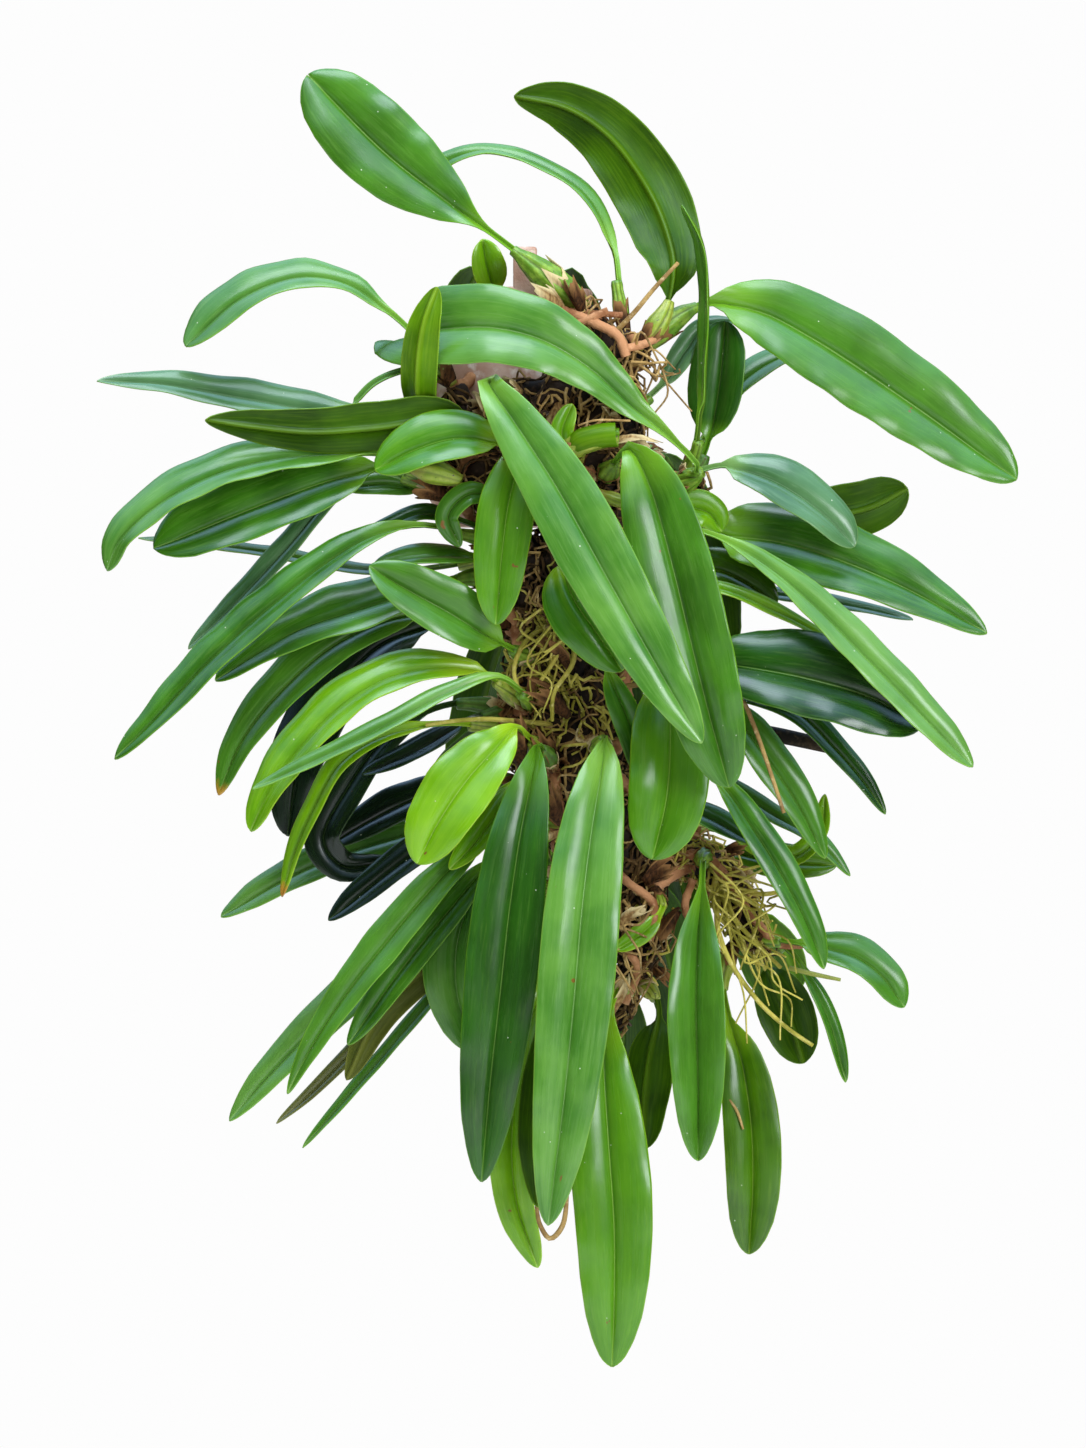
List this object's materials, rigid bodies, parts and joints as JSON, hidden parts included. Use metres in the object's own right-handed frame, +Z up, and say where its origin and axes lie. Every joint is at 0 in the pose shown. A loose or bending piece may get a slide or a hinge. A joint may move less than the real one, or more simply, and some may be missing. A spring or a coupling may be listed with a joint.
{
  "type": "bulbophyllum orchid in vase",
  "caption": "Rambling orchid of leathery strap leaves on ridged pseudobulbs, rooted in a hanging clay vase and trailing over its rim in a long mass of rhizomes, roots and leaves",
  "frame": {"origin": "the point midway between the two pierced lugs of the vase, at the height of their tops, where the cords that hold it up would take hold", "axes": "+Z up; the picture's viewer looks along +Y, so -Y is the front; +X is the viewer's right"},
  "size_m": [0.4626, 0.2639, 0.6509],
  "materials": {
    "clay": "matt",
    "bark": "matt",
    "rhizome": "matt",
    "leaf_deep": "satin",
    "leaf_mid": "satin",
    "leaf_light": "satin",
    "leaf_bright": "gloss",
    "leaf_grey": "satin",
    "leaf_olive": "satin"
  },
  "bodies": {
    "root": {"vase": "clay", "bark_fill": "bark", "root_mass": "rhizome", "leaf_crown_left": "leaf_mid", "leaf_crown_arch": "leaf_light", "leaf_crown_tall": "leaf_olive", "leaves_crown_upright": "leaf_mid", "leaf_crown_behind": "leaf_grey", "leaf_crown_right": "leaf_mid", "leaves_crown_sweep": "leaf_light", "leaf_crown_olive": "leaf_olive", "leaf_mouth_small": "leaf_bright", "leaves_left_arch": "leaf_light", "leaf_left_grey": "leaf_grey", "leaf_left_underside": "leaf_olive", "leaves_left_pair": "leaf_light", "leaves_left_narrow": "leaf_grey", "leaf_left_pale": "leaf_olive", "leaves_left_long": "leaf_mid", "leaves_left_sheen": "leaf_mid", "leaf_front_upturned": "leaf_mid", "leaf_left_brown_tip": "leaf_mid", "leaf_left_shade": "leaf_deep", "leaves_left_curl": "leaf_deep", "leaves_left_low": "leaf_deep", "leaves_left_bright": "leaf_bright", "leaf_left_orange_tip": "leaf_bright", "leaves_lower_left_inner": "leaf_deep", "leaves_short_bright": "leaf_bright", "leaves_lower_left_outer": "leaf_light", "leaves_lower_left_strap": "leaf_mid", "leaves_lower_left_thin": "leaf_mid", "leaf_front_dark": "leaf_deep", "leaf_front_light": "leaf_light", "leaves_lower_narrow": "leaf_bright", "leaves_lowest": "leaf_mid", "leaf_folded": "leaf_mid", "leaf_hanging_olive": "leaf_olive", "leaves_right_low": "leaf_olive", "leaves_right_diagonal": "leaf_mid", "leaves_right_middle": "leaf_mid", "leaves_right_small": "leaf_bright", "leaf_right_glossy": "leaf_deep", "leaves_right_long": "leaf_light", "leaves_right_inner": "leaf_olive", "leaf_right_waved": "leaf_bright", "leaf_front_two_tone": "leaf_mid", "leaf_front_diagonal": "leaf_light", "leaves_front_left": "leaf_mid", "leaf_front_under": "leaf_mid", "leaves_front_lower": "leaf_mid", "young_shoots": "leaf_bright", "leaves_back_crown": "leaf_mid", "leaf_lower_small": "leaf_bright", "leaves_back_right": "leaf_mid", "leaves_back_upper": "leaf_mid", "leaves_back_middle": "leaf_mid", "leaves_back_low": "leaf_mid", "leaf_back_lowest": "leaf_deep", "leaves_back_right_low": "leaf_mid"}
  },
  "joints": []
}
